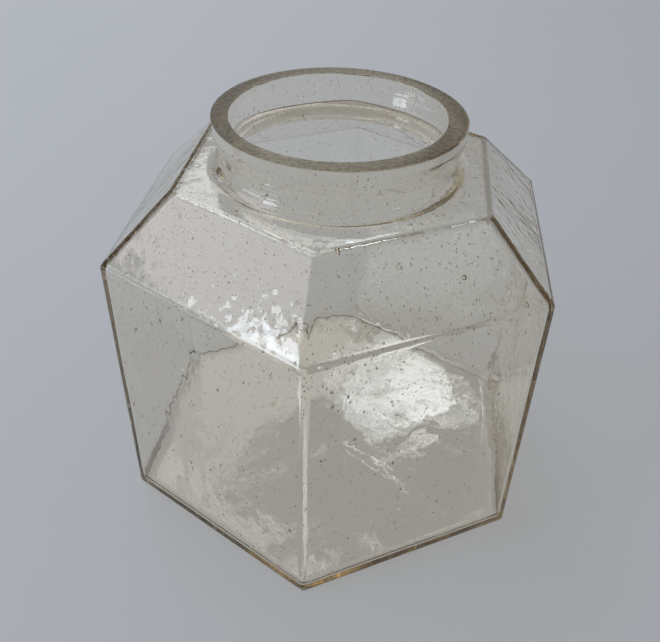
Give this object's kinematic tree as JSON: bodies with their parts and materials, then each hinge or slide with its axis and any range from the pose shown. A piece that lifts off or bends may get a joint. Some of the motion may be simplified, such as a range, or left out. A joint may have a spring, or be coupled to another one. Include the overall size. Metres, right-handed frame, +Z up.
{
  "type": "glass jar",
  "caption": "Hexagonal jar of clear seeded glass with sloping shoulder facets, a flat deck and a short flared round neck with a ground rim.",
  "frame": {"origin": "centre of the flat base", "axes": "+Z up through the mouth; one upright edge of the body faces -Y"},
  "size_m": [0.1428, 0.1646, 0.143],
  "materials": {
    "glass": "clear seeded glass with a faint warm grey tint, wavy fire-polished surfaces and a matt ground rim"
  },
  "bodies": {
    "root": {"glass_jar": "glass"}
  },
  "joints": []
}
